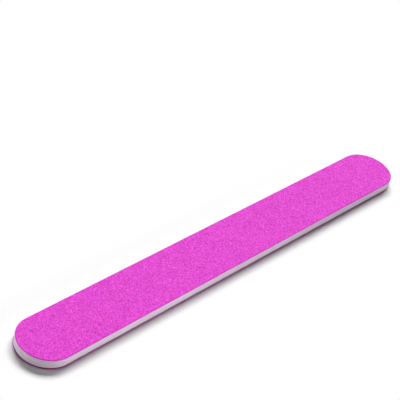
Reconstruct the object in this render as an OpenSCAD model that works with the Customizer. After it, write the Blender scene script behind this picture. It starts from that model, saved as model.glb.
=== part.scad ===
// Double-sided emery board for nails: a straight strip with fully round ends.
// Abrasive paper is stuck on both faces of a foam sandwich, whose middle is a
// thin plastic stiffener. The stack is laminated first, and then one stroke of a
// die cuts it to shape, so every layer has the same outline. Only the grain and
// its resin bed stop a little short of the cut, where the die breaks them away.
// The board lies on its finer side. +X runs along its length, +Z is up, and the
// origin is the centre of the underside. All sizes are in millimetres.

/* [Outline] */
// Length of the board over its round ends
board_length = 178; // [120:1:220]
// Width of the board, which is also the diameter of its round ends
board_width = 19; // [12:0.5:30]
// Distance that the grain and its resin bed stop short of the cut edge
coat_setback = 0.15; // [0:0.05:0.4]

/* [Abrasive sheets] */
// Thickness of the coarser grain and its coloured coat, on the upper face
top_grain_thickness = 0.14; // [0.06:0.01:0.4]
// Thickness of the finer grain and its coloured coat, on the lower face
bottom_grain_thickness = 0.12; // [0.06:0.01:0.4]
// Thickness of the resin bed that holds the grain on its paper
make_coat_thickness = 0.04; // [0.02:0.01:0.1]
// Thickness of the backing paper
paper_thickness = 0.3; // [0.1:0.01:0.4]
// Thickness of the adhesive film between the paper and the foam
sheet_adhesive_thickness = 0.08; // [0.03:0.01:0.15]

/* [Core] */
// Thickness of each of the two foam layers
foam_thickness = 0.9; // [0.5:0.01:3]
// Thickness of the adhesive film on each face of the stiffener
core_adhesive_thickness = 0.05; // [0.03:0.01:0.15]
// Thickness of the plastic stiffener in the middle
stiffener_thickness = 0.6; // [0.3:0.05:1.5]

/* [Hidden] */

// Each layer starts where the one under it ends
bottom_make_coat_z = bottom_grain_thickness;
bottom_paper_z = bottom_make_coat_z + make_coat_thickness;
bottom_adhesive_z = bottom_paper_z + paper_thickness;
lower_foam_z = bottom_adhesive_z + sheet_adhesive_thickness;
lower_core_adhesive_z = lower_foam_z + foam_thickness;
stiffener_z = lower_core_adhesive_z + core_adhesive_thickness;
upper_core_adhesive_z = stiffener_z + stiffener_thickness;
upper_foam_z = upper_core_adhesive_z + core_adhesive_thickness;
top_adhesive_z = upper_foam_z + foam_thickness;
top_paper_z = top_adhesive_z + sheet_adhesive_thickness;
top_make_coat_z = top_paper_z + paper_thickness;
top_grain_z = top_make_coat_z + make_coat_thickness;

$fn = 96;

grain_colour = [0.90, 0.31, 0.82];
make_coat_colour = [0.68, 0.22, 0.60];
paper_colour = [0.95, 0.86, 0.94];
adhesive_colour = [0.86, 0.83, 0.80];
foam_colour = [0.93, 0.90, 0.94];
stiffener_colour = [0.97, 0.97, 0.98];

// A strip with half-round ends, drawn in by inset all the way round
module outline(inset = 0) {
    centre_distance = board_length - board_width;
    width = board_width - 2 * inset;
    square([centre_distance, width], center = true);
    for (side = [-1, 1])
        translate([side * centre_distance / 2, 0])
            circle(d = width);
}

// One flat layer of the stack
module layer(bottom_z, thickness, inset = 0)
    translate([0, 0, bottom_z])
        linear_extrude(height = thickness)
            outline(inset);

// The lower face: finer grain, on which the board lies
module bottom_grain()
    color(grain_colour)
        layer(0, bottom_grain_thickness, coat_setback);

module bottom_make_coat()
    color(make_coat_colour)
        layer(bottom_make_coat_z, make_coat_thickness, coat_setback);

module bottom_paper()
    color(paper_colour)
        layer(bottom_paper_z, paper_thickness);

module bottom_adhesive()
    color(adhesive_colour)
        layer(bottom_adhesive_z, sheet_adhesive_thickness);

// The core: foam, stiffener and foam, each stuck to the next
module lower_foam()
    color(foam_colour)
        layer(lower_foam_z, foam_thickness);

module lower_core_adhesive()
    color(adhesive_colour)
        layer(lower_core_adhesive_z, core_adhesive_thickness);

module centre_stiffener()
    color(stiffener_colour)
        layer(stiffener_z, stiffener_thickness);

module upper_core_adhesive()
    color(adhesive_colour)
        layer(upper_core_adhesive_z, core_adhesive_thickness);

module upper_foam()
    color(foam_colour)
        layer(upper_foam_z, foam_thickness);

// The upper face: the same sheet turned over, with coarser grain
module top_adhesive()
    color(adhesive_colour)
        layer(top_adhesive_z, sheet_adhesive_thickness);

module top_paper()
    color(paper_colour)
        layer(top_paper_z, paper_thickness);

module top_make_coat()
    color(make_coat_colour)
        layer(top_make_coat_z, make_coat_thickness, coat_setback);

module top_grain()
    color(grain_colour)
        layer(top_grain_z, top_grain_thickness, coat_setback);

bottom_grain();
bottom_make_coat();
bottom_paper();
bottom_adhesive();
lower_foam();
lower_core_adhesive();
centre_stiffener();
upper_core_adhesive();
upper_foam();
top_adhesive();
top_paper();
top_make_coat();
top_grain();
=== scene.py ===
"""The looks of a double-sided emery board: gritty magenta faces on a white laminated core.

Every piece is a layer of the laminate, built inside the layer of the frame that it
stands for. Lengths are in millimetres until a mesh is made, which is in metres.
"""

import math

import bpy
import numpy as np
from mathutils import Matrix, Vector


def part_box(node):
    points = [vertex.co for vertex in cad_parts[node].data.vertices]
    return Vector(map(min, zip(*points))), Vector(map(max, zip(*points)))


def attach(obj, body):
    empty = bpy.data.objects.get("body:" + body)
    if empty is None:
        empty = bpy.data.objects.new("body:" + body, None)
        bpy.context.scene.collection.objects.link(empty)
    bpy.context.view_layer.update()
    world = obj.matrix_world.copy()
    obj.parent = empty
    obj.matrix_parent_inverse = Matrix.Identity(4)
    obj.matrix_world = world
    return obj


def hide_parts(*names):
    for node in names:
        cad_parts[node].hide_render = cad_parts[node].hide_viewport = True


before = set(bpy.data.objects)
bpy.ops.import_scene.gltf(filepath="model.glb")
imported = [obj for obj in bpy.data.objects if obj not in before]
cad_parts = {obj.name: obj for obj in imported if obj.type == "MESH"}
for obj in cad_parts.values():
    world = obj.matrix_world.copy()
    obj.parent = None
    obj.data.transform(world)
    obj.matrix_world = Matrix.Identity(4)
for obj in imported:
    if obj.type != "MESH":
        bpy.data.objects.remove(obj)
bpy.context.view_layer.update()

MM = 0.001  # metres in a millimetre
PHOTO_SIDE = 400  # pixels along each side of the photograph


def box_mm(node):
    """Lowest and highest corner of a node of the frame, in millimetres."""
    low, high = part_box(node)
    return np.array(low) / MM, np.array(high) / MM


def direction(azimuth, elevation):
    """Unit vector out from the board at those angles in degrees, where azimuth 0 is -Y."""
    azimuth, elevation = math.radians(azimuth), math.radians(elevation)
    return Vector((
        math.sin(azimuth) * math.cos(elevation),
        -math.cos(azimuth) * math.cos(elevation),
        math.sin(elevation),
    ))


def colour(red, green, blue):
    return (red, green, blue, 1.0)


foam_low, foam_high = box_mm("upper_foam")
coat_high = box_mm("top_grain")[1]
END_RADIUS = (foam_high[1] - foam_low[1]) / 2
# From the centre of the board to the centre of a round end
HALF_STRAIGHT = (foam_high[0] - foam_low[0]) / 2 - END_RADIUS
# How far the coats of grain stop short of the cut edge
COAT_INSET = foam_high[1] - coat_high[1]


# Camera

AIM_DEPTH = 0.1  # below the highest grain
AIM = (9.13, 20.51, coat_high[2] - AIM_DEPTH)  # what the middle of the photograph shows
CAMERA_DISTANCE = 464.97  # from the aim
CAMERA_AZIMUTH = -57.63  # degrees, 0 looks along +Y
CAMERA_ELEVATION = 36.51
CAMERA_ROLL = 17.51
SENSOR_WIDTH = 36.0
FOCAL_PIXELS = 1372.39  # focal length in the photograph's pixels
NEAREST_SEEN = 0.01  # metres
FURTHEST_SEEN = 20.0  # metres


def make_camera():
    back = direction(CAMERA_AZIMUTH, CAMERA_ELEVATION)
    data = bpy.data.cameras.new("camera")
    data.sensor_width = SENSOR_WIDTH
    data.lens = FOCAL_PIXELS * SENSOR_WIDTH / PHOTO_SIDE
    data.clip_start = NEAREST_SEEN
    data.clip_end = FURTHEST_SEEN
    camera = bpy.data.objects.new("camera", data)
    turn = back.to_track_quat("Z", "Y").to_matrix().to_4x4()
    place = Matrix.Translation((Vector(AIM) + back * CAMERA_DISTANCE) * MM)
    camera.matrix_world = place @ turn @ Matrix.Rotation(math.radians(CAMERA_ROLL), 4, "Z")
    bpy.context.scene.collection.objects.link(camera)
    bpy.context.scene.camera = camera


make_camera()


# Outline of the laminate

def outline(step, inset):
    """Points round the outline and their outward directions, in millimetres.

    The first point is the +X tip, and point i mirrors point -i about the X axis.
    """
    arc_steps = math.ceil(math.pi / 2 * END_RADIUS / step)
    straight_steps = math.ceil(2 * HALF_STRAIGHT / step)
    quarter = np.linspace(0, math.pi / 2, arc_steps + 1)
    along = np.linspace(HALF_STRAIGHT, -HALF_STRAIGHT, straight_steps + 1)[1:-1]
    angle = np.concatenate([quarter, np.full(len(along), math.pi / 2), quarter + math.pi / 2])
    centre = np.concatenate([
        np.full(len(quarter), HALF_STRAIGHT), along, np.full(len(quarter), -HALF_STRAIGHT),
    ])
    out = np.stack([np.cos(angle), np.sin(angle)], 1)
    upper = out * (END_RADIUS - inset)
    upper[:, 0] += centre
    flip = np.array([1.0, -1.0])
    points = np.concatenate([upper, upper[-2:0:-1] * flip])
    directions = np.concatenate([out, out[-2:0:-1] * flip])
    return points, directions


def inset_of(low, high):
    """How far a layer with that box stops short of the cut edge."""
    return END_RADIUS - (high[1] - low[1]) / 2


def edge_distance(x, y):
    """Distance in from the cut edge, in millimetres."""
    beyond = np.maximum(np.abs(x) - HALF_STRAIGHT, 0)
    return END_RADIUS - np.hypot(beyond, y)


# Seeded noise for the relief

def lattice_noise(rng, across, up, cell_across, cell_up, wrap):
    """Smooth noise from -1 to 1 at places given in millimetres, repeating after wrap across."""
    columns = max(1, round(wrap / cell_across))
    u = across / wrap * columns
    v = up / cell_up
    rows = int(np.ceil(v.max())) + 2
    table = rng.uniform(-1, 1, (rows, columns))
    u0 = np.floor(u).astype(int)
    v0 = np.floor(v).astype(int)
    fu = u - u0
    fv = v - v0
    fu = fu * fu * (3 - 2 * fu)
    fv = fv * fv * (3 - 2 * fv)
    left = table[v0, u0 % columns] * (1 - fv) + table[v0 + 1, u0 % columns] * fv
    right = table[v0, (u0 + 1) % columns] * (1 - fv) + table[v0 + 1, (u0 + 1) % columns] * fv
    return left * (1 - fu) + right * fu


# Places on the map that the surfaces are baked through

BAKE_MAP = "OFBake"
# Parts of the map's height: the faces that show have most of it
SHOWN_BAND = (0.0, 0.95)
UNDER_BAND = (0.955, 0.975)  # the hidden underside of a layer
OVER_BAND = (0.98, 1.0)  # its hidden top
RIM_BAND = (0.953, 0.985)  # the rim of a coat of grain
FOOT_BAND = (0.988, 1.0)  # its hidden underside
SIDE_ROWS = 20  # rows that a layer's edge is cut into
FACE_ROWS = 3  # rows for the face of a coat of grain
RIM_ROWS = 8  # rows for its rim
ROW_END = 0.5  # millimetres left free at each end of a row
ROW_GAP = 0.05  # part of a row's height left free on each side


def folded(along, middle, length, rows, across, band):
    """Places for a long strip cut into rows that lie one above the other in the band.

    along is each corner's distance down the strip, middle that of its face, and
    across from 0 to 1 is its place over the strip's width.
    """
    low_v, high_v = band
    row_length = length / rows
    row = np.clip(np.floor(middle / row_length), 0, rows - 1)
    u = (along - row * row_length + ROW_END) / (row_length + 2 * ROW_END)
    v = low_v + (high_v - low_v) * (row + ROW_GAP + (1 - 2 * ROW_GAP) * across) / rows
    return np.stack(np.broadcast_arrays(u, v), -1)


def flattened(points, band):
    """Places for a hidden face, squeezed into the band."""
    low_v, high_v = band
    u = (points[..., 0] + HALF_STRAIGHT + END_RADIUS) / (2 * (HALF_STRAIGHT + END_RADIUS))
    v = low_v + (high_v - low_v) * (points[..., 1] + END_RADIUS) / (2 * END_RADIUS)
    return np.stack([u, v], -1)


# Meshes

CORNER_ANGLE = 70.0  # degrees between two faces from which the edge between them is sharp
ALL_SMOOTH = 180.0  # degrees, which no two faces reach
EDGE_STEP = 0.2  # between the points round a layer's edge
FOAM_STEP = 0.15  # the same for foam, whose relief is finer


def new_piece(name, points_mm, faces, places, node, material, sharp_angle):
    """A mesh object that stands for one node of the frame and rides with it."""
    mesh = bpy.data.meshes.new(name)
    mesh.from_pydata((np.asarray(points_mm) * MM).tolist(), [], faces)
    mesh.uv_layers.new(name=BAKE_MAP).data.foreach_set("uv", places.astype(np.float32).ravel())
    mesh.update()
    mesh.shade_smooth()
    mesh.set_sharp_from_angle(angle=math.radians(sharp_angle))
    mesh.materials.append(material)
    piece = bpy.data.objects.new(name, mesh)
    bpy.context.scene.collection.objects.link(piece)
    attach(piece, "root")
    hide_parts(node)
    return piece


def side_faces(count, levels):
    """Faces round a stack of rings of count points, a row of them between two levels."""
    first = np.arange(count)
    after = (first + 1) % count
    lower = np.arange(levels - 1)[:, None] * count
    upper = lower + count
    return np.stack([lower + first, lower + after, upper + after, upper + first], -1)


def side_places(along, gaps, share):
    """Places on the map for those faces."""
    ends_at = along + gaps
    corner_along = np.stack([along, ends_at, ends_at, along], -1)
    corner_share = np.stack([share[:-1], share[:-1], share[1:], share[1:]], -1)
    middle = (along + ends_at) / 2
    return folded(
        corner_along, middle[:, None], gaps.sum(), SIDE_ROWS, corner_share[:, None], SHOWN_BAND
    )


def cap_faces(count):
    """Faces that close a ring of points, paired across the board's width."""
    faces = []
    for i in range(count // 2):
        ring = [i, i + 1, count - i - 1, (count - i) % count]
        faces.append(list(dict.fromkeys(ring)))
    return faces


def layer_piece(name, node, material, share, recess, step=EDGE_STEP):
    """A flat layer with a cut edge.

    recess(along, share, round_it, thickness) gives how far in the edge lies, where
    along is the distance round it and share the height from 0 to 1 in the layer.
    """
    low, high = box_mm(node)
    bottom, top = low[2], high[2]
    points, directions = outline(step, inset_of(low, high))
    gaps = np.linalg.norm(np.roll(points, -1, axis=0) - points, axis=1)
    along = np.cumsum(gaps) - gaps
    grid_along, grid_share = np.meshgrid(along, share)
    inward = recess(grid_along, grid_share, gaps.sum(), top - bottom)
    xy = points[None] - directions[None] * inward[:, :, None]
    z = bottom + (top - bottom) * grid_share
    vertices = np.concatenate([xy, z[:, :, None]], 2).reshape(-1, 3)

    count, levels = len(points), len(share)
    sides = side_faces(count, levels).reshape(-1, 4).tolist()
    caps = cap_faces(count)
    under = [face[::-1] for face in caps]
    over = [[k + (levels - 1) * count for k in face] for face in caps]
    places = np.concatenate([
        side_places(along, gaps, share).reshape(-1, 2),
        flattened(vertices[np.concatenate(under)], UNDER_BAND),
        flattened(vertices[np.concatenate(over)], OVER_BAND),
    ])
    faces = sides + under + over
    return new_piece(name, vertices, faces, places, node, material, CORNER_ANGLE)


# Materials

class Material:
    """A node material with a short way to add nodes."""

    def __init__(self, name):
        self.material = bpy.data.materials.new(name)
        self.material.use_nodes = True
        self.tree = self.material.node_tree
        self.shader = self.tree.nodes["Principled BSDF"]

    def put(self, socket, value):
        """Give an input a value, or link it to the output socket that feeds it."""
        if isinstance(value, bpy.types.NodeSocket):
            self.tree.links.new(value, socket)
        else:
            socket.default_value = value

    def feed(self, name, value):
        """Give an input of the shader a value, or link it."""
        self.put(self.shader.inputs[name], value)

    def add(self, kind, inputs=None, **settings):
        """A new node with these inputs and settings."""
        node = self.tree.nodes.new(kind)
        for key, value in settings.items():
            setattr(node, key, value)
        for key, value in (inputs or {}).items():
            self.put(node.inputs[key], value)
        return node

    def maths(self, operation, first, second=0.0):
        return self.add("ShaderNodeMath", {0: first, 1: second}, operation=operation).outputs[0]

    def vectors(self, operation, *values):
        """The operation on these vectors."""
        inputs = dict(enumerate(values))
        return self.add("ShaderNodeVectorMath", inputs, operation=operation).outputs[0]

    def scaled(self, vector, factor):
        inputs = {0: vector, 3: factor}
        return self.add("ShaderNodeVectorMath", inputs, operation="SCALE").outputs[0]

    def axes(self, vector):
        """The three parts of a vector."""
        return self.add("ShaderNodeSeparateXYZ", {"Vector": vector}).outputs

    def channels(self, value):
        """The three parts of a colour."""
        return self.add("ShaderNodeSeparateColor", {"Color": value}).outputs

    def mix(self, factor, first, second, blend="MIX"):
        inputs = {0: factor, 6: first, 7: second}
        return self.add("ShaderNodeMix", inputs, data_type="RGBA", blend_type=blend).outputs[2]

    def ramp(self, value, low, high, to_low=0.0, to_high=1.0):
        """The value, spread from its range low to high over to_low to to_high."""
        return self.add("ShaderNodeMapRange", {
            "Value": value, "From Min": low, "From Max": high, "To Min": to_low, "To Max": to_high,
        }).outputs["Result"]

    def millimetres(self):
        """Places on the piece, in millimetres."""
        return self.scaled(self.add("ShaderNodeTexCoord").outputs["Object"], 1 / MM)

    def normal(self):
        return self.add("ShaderNodeNewGeometry").outputs["Normal"]

    def noise(self, place, cell, detail, output="Fac"):
        """Noise from 0 to 1 whose coarsest cells are that many millimetres wide."""
        inputs = {"Vector": place, "Scale": 1 / cell, "Detail": detail}
        return self.add("ShaderNodeTexNoise", inputs).outputs[output]

    def stretch(self, noise, width, to_low=0.0, to_high=1.0):
        """Noise whose middle part, that wide, is spread over to_low to to_high."""
        return self.ramp(noise, 0.5 - width / 2, 0.5 + width / 2, to_low, to_high)

    def mottle(self, place, size, detail, depth, width=0.3):
        """Blotches about size millimetres wide, from -depth to depth."""
        return self.stretch(self.noise(place, size, detail), width, -depth, depth)

    def cells(self, place, size, feature="F1"):
        """Random cells that are size millimetres wide on average."""
        inputs = {"Vector": place, "Scale": 1 / size}
        return self.add("ShaderNodeTexVoronoi", inputs, feature=feature).outputs

    def outline_distance(self):
        """Distance out from the cut edge in millimetres, negative inside it."""
        x, y, _ = self.axes(self.millimetres())
        beyond = self.maths("SUBTRACT", self.maths("ABSOLUTE", x), HALF_STRAIGHT)
        beyond = self.maths("MAXIMUM", beyond, 0.0)
        along = self.maths("MULTIPLY", beyond, beyond)
        both = self.maths("ADD", along, self.maths("MULTIPLY", y, y))
        return self.maths("SUBTRACT", self.maths("SQRT", both), END_RADIUS)

    def bump(self, height, strength, depth, normal=None):
        """Relief depth millimetres high, on the normal where one is given."""
        inputs = {"Height": height, "Strength": strength, "Distance": depth * MM}
        if normal is not None:
            inputs["Normal"] = normal
        self.feed("Normal", self.add("ShaderNodeBump", inputs).outputs["Normal"])


GRAIN_DEEP = colour(0.76, 0.030, 0.58)
GRAIN_BRIGHT = colour(1.0, 0.094, 0.89)
# Painted highlight: the paler colour of the glossiest grains
GRAIN_PAINTED_GLINT = colour(0.98, 0.15, 0.88)
# Painted shade in the crevices between the grains
GRAIN_CREVICE_SHADE = colour(0.62, 0.018, 0.46)
COOL_CAST = colour(0.99, 1.0, 1.02)
WARM_CAST = colour(1.01, 1.0, 0.98)
CLUMP_SIZE = 0.77
CLOUD_SIZE = 6.0
GRAIN_TINT = 0.46  # how much brighter the brightest grain is, where 1 is all the way
CLUMP_TINT = 0.56  # the same for the brightest clump of grains
CLOUD_TINT = 0.08  # the same for the brightest of the broad clouds
PAINTED_GLINTS_FROM = (0.90, 0.96)  # the glossiest grains, which are painted paler as glints
GLOSS_SPAN = (0.5, 0.97)  # gloss over which the roughness falls
GRAIN_ROUGH = (0.70, 0.35)  # from the dullest grain to the glossiest
CREVICE_WIDTH = 0.12  # on each side, as part of a grain's size
GRAIN_LEAN = 0.95  # how much the grains tilt the surface, as part of a unit normal
GRAIN_SPECULAR = 0.2


def grain_material(name, grain_size, rim_width, rim_shade_tint):
    """Dyed grain under a resin coat: each grain has its own tilt, tint and gloss.

    The coat turns to rim_shade_tint, a darker colour painted as shade at its edge, over the last
    rim_width millimetres before its edge.
    """
    m = Material(name)
    place = m.millimetres()
    grains = m.cells(place, grain_size)["Color"]
    each, gloss, _ = m.channels(grains)
    clouds = m.noise(place, CLOUD_SIZE, 3.0)
    tint = m.maths("MULTIPLY", each, GRAIN_TINT)
    clumps = m.stretch(m.noise(place, CLUMP_SIZE, 2.0), 0.28, 0.0, CLUMP_TINT)
    tint = m.maths("ADD", tint, clumps)
    tint = m.maths("ADD", tint, m.stretch(clouds, 0.24, 0.0, CLOUD_TINT))
    base = m.mix(tint, GRAIN_DEEP, GRAIN_BRIGHT)
    cast = m.mix(m.stretch(clouds, 0.3), COOL_CAST, WARM_CAST)
    base = m.mix(1.0, base, cast, "MULTIPLY")
    # Painted highlight: the glossiest grains turn paler, as glints.
    base = m.mix(m.ramp(gloss, *PAINTED_GLINTS_FROM), base, GRAIN_PAINTED_GLINT)
    domes = m.cells(place, grain_size, "DISTANCE_TO_EDGE")["Distance"]
    domes = m.ramp(domes, 0.0, CREVICE_WIDTH)
    # Painted shade: each grain darkens towards the crevice round it.
    base = m.mix(domes, GRAIN_CREVICE_SHADE, base)
    # Painted shade: the coat darkens towards its rim.
    rim = m.ramp(m.outline_distance(), -COAT_INSET - rim_width, -COAT_INSET)
    m.feed("Base Color", m.mix(rim, base, rim_shade_tint))
    m.feed("Roughness", m.ramp(gloss, *GLOSS_SPAN, *GRAIN_ROUGH))
    m.feed("Specular IOR Level", GRAIN_SPECULAR)
    lean = m.scaled(m.vectors("SUBTRACT", grains, (0.5, 0.5, 0.5)), GRAIN_LEAN)
    tilted = m.vectors("NORMALIZE", m.vectors("ADD", m.normal(), lean))
    m.bump(domes, 0.5, grain_size / 6, tilted)
    return m.material


EDGE_SPECULAR = 0.3


def edge_finish(m, relief, depth, strength, rough):
    """Roughness and bump of a cut edge, both from the same relief from 0 to 1."""
    low, high = rough
    m.feed("Roughness", m.ramp(relief, 0.0, 1.0, high, low))
    m.feed("Specular IOR Level", EDGE_SPECULAR)
    m.bump(relief, strength, depth)


# The pit colour is the foam painted darker, as shade in its open cells.
SHADED_FOAM_PIT = colour(0.72, 0.59, 0.715)
# The pink in the foam's colours is painted bounce light from the magenta sheets; the foam itself
# is near white.
FOAM_WALL = colour(0.90, 0.745, 0.90)
FOAM_ROUGH = (0.72, 0.86)
CELL_SIZE = 0.12
CELL_BEND = 0.10  # how far noise bends the walls between the cells
CELL_WALL = (0.10, 0.65)  # from a pit to the top of its wall, as part of a cell's size
PORE_SPACING = 0.42
PORE_EDGE = (0.12, 0.32)  # from a pore's middle to its edge, as part of the spacing
PORES_SHUT = (0.70, 0.75)  # part of the pores that aren't cut open
PORE_FLOOR = 0.3  # part of the relief that is left in an open pore
FOOT_SHADE_FADE = (0.06, 0.22)  # heights above the sheet below, between which the painted shade at the foam's foot fades
FOOT_SHADE_WAVE = 0.04  # how far the top of that painted shade wanders up and down


def foam_material(name, foot_shade=None, foot_shade_z=0.0):
    """Closed-cell foam cut through: small open pits, painted darker as shade, between thin bright
    walls.

    foot_shade is a dark plum painted as shade along the foot of the foam, above the sheet below,
    and it ends at the height foot_shade_z.
    """
    m = Material(name)
    place = m.millimetres()
    drift = m.noise(place, CELL_SIZE, 2.0, "Color")
    bent = m.vectors("MULTIPLY_ADD", drift, (CELL_BEND, CELL_BEND, CELL_BEND), place)
    shell = m.ramp(m.cells(bent, CELL_SIZE)["Distance"], *CELL_WALL)
    pores = m.cells(bent, PORE_SPACING)
    hole = m.ramp(pores["Distance"], *PORE_EDGE, 1.0, 0.0)
    open_ones = m.ramp(m.channels(pores["Color"])[0], *PORES_SHUT)
    hole = m.maths("MULTIPLY", hole, open_ones)
    relief = m.maths("MULTIPLY", shell, m.ramp(hole, 0.0, 1.0, 1.0, PORE_FLOOR))
    tone = m.maths("ADD", relief, m.mottle(place, 2.6, 2.0, 0.15))
    # Painted shade: the pits and open pores are darker than the walls round them.
    base = m.mix(tone, SHADED_FOAM_PIT, FOAM_WALL)
    # Painted shade: the foam turns dark plum towards the sheet below.
    if foot_shade:
        start, end = FOOT_SHADE_FADE
        wave = m.mottle(place, 0.9, 3.0, FOOT_SHADE_WAVE, width=0.4)
        height = m.maths("ADD", m.axes(place)[2], wave)
        base = m.mix(m.ramp(height, foot_shade_z + start, foot_shade_z + end), foot_shade, base)
    m.feed("Base Color", base)
    edge_finish(m, relief, 0.04, 0.6, FOAM_ROUGH)
    return m.material


FIBRE_HEIGHT = 0.045
FIBRE_SQUEEZE = 0.22  # a fibre's height as part of its length
FACING_UP = (0.75, 0.97)  # height of a unit normal, over which an edge turns into a face


def sheet_material(name, dark, light, rough, face=None):
    """The cut edge of a thin sheet: fine lines that lie flat in it, and a faint mottle.

    face is the colour of the sheet's upper face, where it differs from that of its edge.
    """
    m = Material(name)
    place = m.millimetres()
    flat = m.vectors("MULTIPLY", place, (FIBRE_SQUEEZE, FIBRE_SQUEEZE, 1.0))
    fibres = m.stretch(m.noise(flat, FIBRE_HEIGHT, 3.0), 0.36)
    tone = m.maths("ADD", fibres, m.mottle(place, 1.1, 3.0, 0.2))
    base = m.mix(tone, dark, light)
    if face:
        base = m.mix(m.ramp(m.axes(m.normal())[2], *FACING_UP), base, face)
    m.feed("Base Color", base)
    edge_finish(m, fibres, 0.02, 0.5, rough)
    return m.material


DRAG_WIDTH = 0.07
DRAG_SQUEEZE = 0.12  # a drag line's width as part of its height


def sheared_material(name, dark, light, rough):
    """Sheet plastic cut by a die: fine upright drag lines on a smooth, slightly glossy edge."""
    m = Material(name)
    place = m.millimetres()
    upright = m.vectors("MULTIPLY", place, (1.0, 1.0, DRAG_SQUEEZE))
    lines = m.stretch(m.noise(upright, DRAG_WIDTH, 3.0), 0.4)
    tone = m.maths("ADD", lines, m.mottle(place, 3.0, 2.0, 0.2))
    m.feed("Base Color", m.mix(tone, dark, light))
    edge_finish(m, lines, 0.02, 0.35, rough)
    return m.material


PAPER_ROUGH = (0.74, 0.86)
# The upper coat darkens a little at its rim, partly as painted shade where it rolls down to the
# edge.
coarse_grain = grain_material(
    "coarse_grain", grain_size=0.20, rim_width=0.35, rim_shade_tint=colour(0.80, 0.052, 0.63)
)
# The lower coat's rim is painted nearly black, as the shade in the crevice under the paper.
fine_grain = grain_material(
    "fine_grain", grain_size=0.14, rim_width=0.15, rim_shade_tint=colour(0.10, 0.004, 0.055)
)
# Painted shade: the lower resin bed is the tinted resin darkened to near-black plum, as at the
# foot of the board.
shaded_resin = sheet_material(
    "shaded_resin", colour(0.13, 0.004, 0.075), colour(0.21, 0.008, 0.12), (0.5, 0.6)
)
# Partly the resin's own pink, partly painted highlight: the upper resin bed is lightened to a
# bright ledge round the face.
tinted_highlit_resin = sheet_material(
    "tinted_highlit_resin", colour(0.78, 0.15, 0.66), colour(0.92, 0.28, 0.82), (0.4, 0.5)
)
pale_paper = sheet_material(
    "pale_paper", colour(0.92, 0.60, 0.86), colour(0.99, 0.76, 0.95), PAPER_ROUGH,
    # Lightened, partly as painted highlight along the paper's rounded upper corner
    face=colour(0.91, 0.38, 0.83),
)
# Partly the lower sheet's magenta dye, partly painted shade: its paper and adhesive film are
# darkened to plum, as at the foot of the board.
shaded_plum_sheet = sheet_material(
    "shaded_plum_sheet", colour(0.20, 0.004, 0.12), colour(0.34, 0.010, 0.215), PAPER_ROUGH
)
clear_adhesive = sheet_material(
    "clear_adhesive", colour(0.70, 0.56, 0.69), colour(0.82, 0.68, 0.81), (0.34, 0.46)
)
white_foam = foam_material("white_foam")
# The lower foam carries a band of painted shade along its foot.
foot_shaded_foam = foam_material(
    "foot_shaded_foam", foot_shade=colour(0.26, 0.010, 0.16), foot_shade_z=box_mm("lower_foam")[0][2]
)
# Its pink, like the foam's, is painted bounce light from the magenta sheets.
white_plastic = sheared_material(
    "white_plastic", colour(0.77, 0.66, 0.775), colour(0.86, 0.74, 0.865), (0.34, 0.48)
)


# Layers with a cut edge

FOAM_WAIST = 0.04  # how far the middle of a foam layer is drawn in
CORNER_RADIUS = 0.10  # of the papers' outer corners
STIFFENER_RECESS = 0.02
CORE_FILM_RECESS = 0.015
SHEET_FILM_RECESS = 0.01


def waves(rng, across, up, wide, high, wrap, size):
    """Smooth noise from 0 to size, in cells that are wide by high millimetres."""
    return size / 2 * (1 + lattice_noise(rng, across, up, wide, high, wrap))


def foam_recess(seed):
    """Foam's edge, with a waist, the drag of the die and open cells."""
    rng = np.random.default_rng(seed)

    def recess(along, share, round_it, thickness):
        up = share * thickness
        waist = FOAM_WAIST * (1 - (2 * share - 1) ** 2)
        drag = waves(rng, along, up, 0.5, 2.0, round_it, size=0.024)
        cells = waves(rng, along, up, 0.2, 0.2, round_it, size=0.028)
        return waist + drag + cells

    return recess


def sheet_recess(seed, outer_up):
    """A sheet's edge, rounded off at its outer corner and slightly frayed."""
    rng = np.random.default_rng(seed)

    def recess(along, share, round_it, thickness):
        outer = thickness * (share if outer_up else 1 - share)
        rise = np.clip(outer - (thickness - CORNER_RADIUS), 0, CORNER_RADIUS)
        fray = waves(rng, along, share * thickness, 0.3, 0.2, round_it, size=0.012)
        return CORNER_RADIUS - np.sqrt(CORNER_RADIUS ** 2 - rise ** 2) + fray

    return recess


def flush_recess(depth):
    """A plain upright edge."""
    return lambda along, share, round_it, thickness: np.full_like(along, depth)


# Heights in a layer, from 0 to 1, at which its edge has points
EVEN = np.linspace(0, 1, 9)
TO_CORNER = np.array([0, 0.35, 0.62, 0.70, 0.78, 0.86, 0.93, 0.98, 1.0])
ENDS = np.array([0.0, 1.0])

for level, seed, material in (("lower", 11, foot_shaded_foam), ("upper", 12, white_foam)):
    foam = layer_piece(
        level + "_foam_layer", level + "_foam", material, EVEN, foam_recess(seed), FOAM_STEP
    )
layer_piece(
    "stiffener_strip", "centre_stiffener", white_plastic,
    ENDS, flush_recess(STIFFENER_RECESS),
)
for level, side, seed, film, paper, resin in (
    ("lower", "bottom", 22, shaded_plum_sheet, shaded_plum_sheet, shaded_resin),
    ("upper", "top", 21, clear_adhesive, pale_paper, tinted_highlit_resin),
):
    up = side == "top"
    layer_piece(
        level + "_core_film", level + "_core_adhesive", clear_adhesive,
        ENDS, flush_recess(CORE_FILM_RECESS),
    )
    layer_piece(
        side + "_sheet_film", side + "_adhesive", film,
        ENDS, flush_recess(SHEET_FILM_RECESS),
    )
    layer_piece(
        side + "_paper_sheet", side + "_paper", paper,
        TO_CORNER if up else 1 - TO_CORNER[::-1], sheet_recess(seed, up),
    )
    layer_piece(
        side + "_resin_bed", side + "_make_coat", resin, ENDS, flush_recess(0.0)
    )


# Coats of grain

POINT_SPACING = 0.215
JITTER = 0.22  # as part of the spacing
BORDER_GAP = 0.3  # from the coat's rim to the nearest point inside it, as part of the spacing
HEAP_SIZE = 0.7
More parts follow.
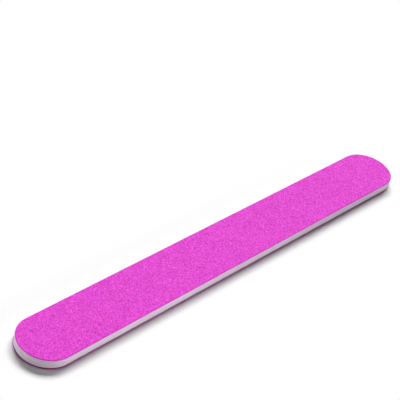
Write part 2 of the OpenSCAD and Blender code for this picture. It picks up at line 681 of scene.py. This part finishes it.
# Parts of the coat's thickness, of which the first three reach its top together
LOWEST_POINT = 0.25
POINT_RISE = 0.55  # from the lowest grain to the highest
HEAP_RISE = 0.20  # from the lowest heap of grains to the highest
RIM_HEIGHT = 0.4
ROLL_WIDTH = 0.35  # millimetres over which the face rolls down to its rim
ROLL_DROP = 0.35  # part of its height that a point would lose at the very rim


def grain_lattice(rng, x_span, y_span):
    """A jittered lattice of points that covers those spans, and its triangles."""
    row_gap = POINT_SPACING * math.sqrt(3) / 2
    columns = math.ceil(x_span / POINT_SPACING) + 3
    rows = math.ceil(y_span / row_gap) + 3
    column, row = np.meshgrid(np.arange(columns), np.arange(rows))
    x = (column - (columns - 1) / 2 + 0.5 * (row % 2)) * POINT_SPACING
    y = (row - (rows - 1) / 2) * row_gap
    x = x + rng.uniform(-JITTER, JITTER, x.shape) * POINT_SPACING
    y = y + rng.uniform(-JITTER, JITTER, y.shape) * POINT_SPACING
    index = row * columns + column
    a, b = index[:-1, :-1], index[:-1, 1:]
    c, d = index[1:, :-1], index[1:, 1:]
    odd = (row[:-1, :-1, None] % 2).astype(bool)
    first = np.where(odd, np.stack([a, b, d], -1), np.stack([a, b, c], -1))
    second = np.where(odd, np.stack([a, d, c], -1), np.stack([b, d, c], -1))
    triangles = np.concatenate([first.reshape(-1, 3), second.reshape(-1, 3)])
    return x.ravel(), y.ravel(), triangles


def border_sides(triangles, count):
    """The sides that belong to one triangle alone, as pairs of points."""
    sides = np.concatenate([triangles[:, [0, 1]], triangles[:, [1, 2]], triangles[:, [2, 0]]])
    key = sides.min(1).astype(np.int64) * count + sides.max(1)
    _, where, times = np.unique(key, return_index=True, return_counts=True)
    return sides[where[times == 1]]


def cut_to_outline(x, y, triangles, inset):
    """The part of a lattice inside the outline, with its border moved out to it."""
    depth = edge_distance(x, y) - inset
    triangles = triangles[(depth[triangles] > BORDER_GAP * POINT_SPACING).all(1)]
    used, triangles = np.unique(triangles, return_inverse=True)
    triangles = triangles.reshape(-1, 3)
    x, y, depth = x[used], y[used], depth[used]
    border = border_sides(triangles, len(x))
    rim = np.unique(border)
    centre = np.clip(x[rim], -HALF_STRAIGHT, HALF_STRAIGHT)
    reach = np.hypot(x[rim] - centre, y[rim])
    x[rim] = centre + (x[rim] - centre) / reach * (END_RADIUS - inset)
    y[rim] = y[rim] / reach * (END_RADIUS - inset)
    depth[rim] = 0
    return x, y, depth, triangles, border, rim


def grain_heights(rng, x, y, depth, rim, thickness):
    """Height of each point: its own rise on the heap that it is in, less at the rolled rim."""
    heaps = waves(rng, x - x.min(), y - y.min(), HEAP_SIZE, HEAP_SIZE, np.ptp(x), HEAP_RISE)
    height = thickness * (LOWEST_POINT + POINT_RISE * rng.uniform(0, 1, len(x)) + heaps)
    rolled = np.clip(1 - depth / ROLL_WIDTH, 0, 1) ** 2
    height = height * (1 - ROLL_DROP * rolled)
    height[rim] = thickness * RIM_HEIGHT
    return height


def ring_order(border):
    """The points of a border, in the order in which its sides follow each other."""
    follow = dict(border.tolist())
    loop = [int(border[0][0])]
    while follow[loop[-1]] != loop[0]:
        loop.append(follow[loop[-1]])
    return np.array(loop)


def face_places(x, y, triangles, low, high):
    """Places on the map for the triangles of a coat's face."""
    corner_x = x[triangles] - low[0]
    middle = corner_x.mean(1, keepdims=True)
    across = (y[triangles] - low[1]) / (high[1] - low[1])
    return folded(corner_x, middle, high[0] - low[0], FACE_ROWS, across, SHOWN_BAND)


def rim_places(x, y, loop, after):
    """Places on the map for the faces round a coat's rim."""
    gaps = np.hypot(x[after] - x[loop], y[after] - y[loop])
    end = np.cumsum(gaps)
    start = end - gaps
    along = np.stack([end, start, start, end], -1)
    middle = (start + gaps / 2)[:, None]
    return folded(along, middle, end[-1], RIM_ROWS, np.array([1.0, 1.0, 0.0, 0.0]), RIM_BAND)


def grain_piece(name, node, material, seed, upward):
    """A coat of grain: a jittered lattice of points, each at its own height."""
    rng = np.random.default_rng(seed)
    low, high = box_mm(node)
    x, y, triangles = grain_lattice(rng, high[0] - low[0], high[1] - low[1])
    x, y, depth, triangles, border, rim = cut_to_outline(x, y, triangles, inset_of(low, high))
    height = grain_heights(rng, x, y, depth, rim, high[2] - low[2])

    top = np.stack([x, y, height], 1)
    foot = np.stack([x[rim], y[rim], np.zeros(len(rim))], 1)
    points = np.concatenate([top, foot])
    foot_of = np.zeros(len(x), int)
    foot_of[rim] = len(x) + np.arange(len(rim))
    loop = ring_order(border)
    after = np.roll(loop, -1)
    sides = np.stack([after, loop, foot_of[loop], foot_of[after]], -1)
    under = foot_of[loop][::-1]
    faces = triangles.tolist() + sides.tolist() + [under.tolist()]
    places = [
        face_places(x, y, triangles, low, high),
        rim_places(x, y, loop, after),
        flattened(points[under], FOOT_BAND),
    ]
    if upward:
        points[:, 2] += low[2]
    else:
        points[:, 2] = high[2] - points[:, 2]
        faces = [face[::-1] for face in faces]
        places = [place[..., ::-1, :] for place in places]
    places = np.concatenate([place.reshape(-1, 2) for place in places])
    return new_piece(name, points, faces, places, node, material, ALL_SMOOTH)


grain_piece("top_grain_coat", "top_grain", coarse_grain, 41, upward=True)
grain_piece("bottom_grain_coat", "bottom_grain", fine_grain, 42, upward=False)


# Floor, world and lamps

FLOOR_SIDE = 6.0  # metres
FLOOR_DROP = 0.01  # below the board, so that no two faces share a plane
FLOOR_BOUNCE = colour(0.62, 0.62, 0.62)  # the floor's colour in the light that it throws back
WHITE = colour(1.0, 1.0, 1.0)
# Distance from the board over which the floor's shading fades to plain white
SHADE_FADE = (3.0, 14.0)
WORLD_LIGHT = 0.01  # strength of the world as a lamp
FAR_LAMP = 3.0  # metres, for the lamps that light the whole board evenly
SIDE_LAMP = 0.4  # metres, for a lamp that lights its own end of the board a little more
NEAR_LAMP = 0.13  # metres, for a lamp that lights the -X end much more than the +X end


def background_rays(tree):
    """1 for the rays that should see a plain white background, otherwise 0."""
    path = tree.nodes.new("ShaderNodeLightPath")
    total = path.outputs["Is Camera Ray"]
    for ray in ("Is Glossy Ray", "Is Transmission Ray"):
        larger = tree.nodes.new("ShaderNodeMath")
        larger.operation = "MAXIMUM"
        tree.links.new(total, larger.inputs[0])
        tree.links.new(path.outputs[ray], larger.inputs[1])
        total = larger.outputs[0]
    return total


def floor_material():
    """White paper that shades near the board and is plain white away from it."""
    m = Material("white_floor")
    seen = background_rays(m.tree)
    m.feed("Base Color", m.mix(seen, FLOOR_BOUNCE, WHITE))
    m.feed("Roughness", 1.0)
    m.feed("Specular IOR Level", 0.0)
    away = m.maths("MULTIPLY", m.ramp(m.outline_distance(), *SHADE_FADE), seen)
    plain = m.add("ShaderNodeEmission", {"Strength": 1.0}).outputs[0]
    both = m.add("ShaderNodeMixShader", {0: away, 1: m.shader.outputs[0], 2: plain}).outputs[0]
    m.put(m.tree.nodes["Material Output"].inputs["Surface"], both)
    return m.material


def make_floor():
    half = FLOOR_SIDE / 2
    corners = [(-half, -half), (half, -half), (half, half), (-half, half)]
    mesh = bpy.data.meshes.new("floor")
    mesh.from_pydata([(x, y, -FLOOR_DROP * MM) for x, y in corners], [], [(0, 1, 2, 3)])
    mesh.materials.append(floor_material())
    floor = bpy.data.objects.new("floor", mesh)
    bpy.context.scene.collection.objects.link(floor)


def make_world():
    """White to the rays that see the background, and nearly dark as a lamp."""
    world = bpy.data.worlds.new("studio")
    bpy.context.scene.world = world
    world.use_nodes = True
    tree = world.node_tree
    background = tree.nodes["Background"]
    background.inputs["Color"].default_value = WHITE
    level = tree.nodes.new("ShaderNodeMapRange")
    tree.links.new(background_rays(tree), level.inputs["Value"])
    level.inputs["To Min"].default_value = WORLD_LIGHT
    level.inputs["To Max"].default_value = 1.0
    tree.links.new(level.outputs["Result"], background.inputs["Strength"])


def softbox(name, azimuth, elevation, wide, high, distance, level):
    """An oblong lamp aimed at the middle of the board, wide by high in degrees from there.

    level is how bright the lamp alone makes a white face that is turned to it.
    """
    towards = direction(azimuth, elevation)
    data = bpy.data.lights.new(name, "AREA")
    data.shape = "RECTANGLE"
    data.size = 2 * distance * math.tan(math.radians(wide / 2))
    data.size_y = 2 * distance * math.tan(math.radians(high / 2))
    data.energy = level * math.pi ** 2 * distance ** 2
    lamp = bpy.data.objects.new(name, data)
    lamp.location = towards * distance
    lamp.rotation_euler = towards.to_track_quat("Z", "Y").to_euler()
    lamp.visible_camera = False
    bpy.context.scene.collection.objects.link(lamp)


make_floor()
make_world()
softbox("key_box", 130, 47.5, wide=46, high=22, distance=FAR_LAMP, level=1.38)
softbox("front_strip", 40, 8, wide=50, high=12, distance=FAR_LAMP, level=0.262)
softbox("left_strip", 240, 8, wide=26, high=12, distance=SIDE_LAMP, level=0.28)
softbox("near_strip", -28, 8, wide=20, high=12, distance=NEAR_LAMP, level=0.255)

scene = bpy.context.scene
scene.view_settings.view_transform = "Standard"
